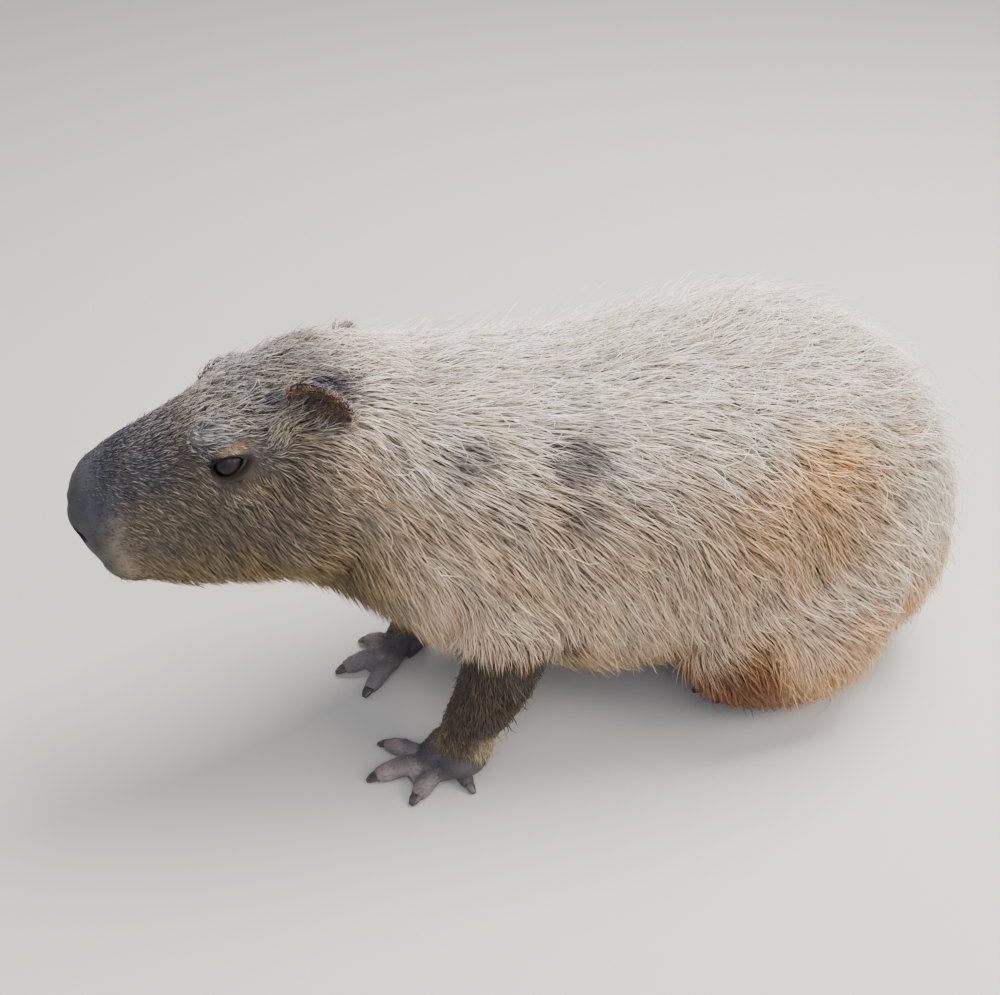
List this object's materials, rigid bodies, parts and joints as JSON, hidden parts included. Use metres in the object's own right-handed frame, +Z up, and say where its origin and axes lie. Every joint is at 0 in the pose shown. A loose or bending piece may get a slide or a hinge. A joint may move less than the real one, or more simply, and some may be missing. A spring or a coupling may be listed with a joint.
{
  "type": "capybara",
  "caption": "Life-size still capybara crouching on flat feet with its head stretched forward, long bristly coat laid back over neck, trunk and thighs.",
  "frame": {"origin": "middle of the model's box, on the floor", "axes": "+Z up, the animal faces -Y, its left side is at +X"},
  "size_m": [0.331, 0.8472, 0.4456],
  "materials": {
    "coat": "coarse straw-coloured hair over grey-brown skin",
    "bare_skin": "dark, nearly bare skin of feet and ears",
    "claw": "blunt dark horn",
    "eye": "wet dark eye with a cloudy sheen"
  },
  "bodies": {
    "root": {"head": "coat", "neck": "coat", "torso": "coat", "tail": "coat", "foreleg_left": "coat", "hindleg_left": "coat", "fore_foot_left": "bare_skin", "hind_foot_left": "bare_skin", "ear_left": "bare_skin", "eye_left": "eye", "fore_claw_inner_left": "claw", "fore_claw_middle_left": "claw", "fore_claw_outer_left": "claw", "fore_claw_small_left": "claw", "hind_claw_inner_left": "claw", "hind_claw_middle_left": "claw", "hind_claw_outer_left": "claw", "foreleg_right": "coat", "hindleg_right": "coat", "fore_foot_right": "bare_skin", "hind_foot_right": "bare_skin", "ear_right": "bare_skin", "eye_right": "eye", "fore_claw_inner_right": "claw", "fore_claw_middle_right": "claw", "fore_claw_outer_right": "claw", "fore_claw_small_right": "claw", "hind_claw_inner_right": "claw", "hind_claw_middle_right": "claw", "hind_claw_outer_right": "claw"}
  },
  "joints": []
}
